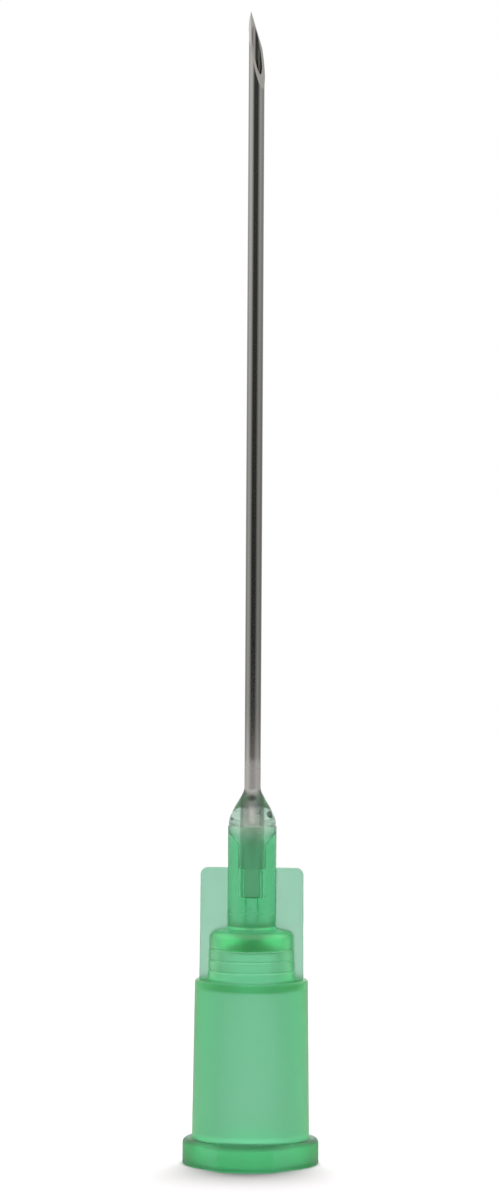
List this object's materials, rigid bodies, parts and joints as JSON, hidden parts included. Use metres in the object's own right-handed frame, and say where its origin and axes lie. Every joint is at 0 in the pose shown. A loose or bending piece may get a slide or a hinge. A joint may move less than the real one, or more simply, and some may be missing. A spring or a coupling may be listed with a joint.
{
  "type": "hypodermic needle",
  "caption": "Green locking hypodermic needle without its cap: ringed translucent hub with side wings and a lugged flange, clear bonding plug, and a steel cannula ground to a lancet point.",
  "frame": {"origin": "centre of the hub's open mouth, on the surface that the needle stands on", "axes": "+Z along the cannula towards its point, X across the two wings, Y through the two lugs of the flange, with the bevel looking between +X and -Y"},
  "size_m": [0.0068, 0.0078, 0.0568],
  "materials": {
    "hub_plastic": "frosted translucent green polypropylene, clearer in the nose and the wings",
    "cannula_steel": "drawn and polished stainless steel, ground bright at the point and blasted matt just above the bond",
    "clear_adhesive": "clear glossy cured epoxy"
  },
  "bodies": {
    "root": {"hub": "hub_plastic", "cannula": "cannula_steel", "adhesive": "clear_adhesive"}
  },
  "joints": []
}
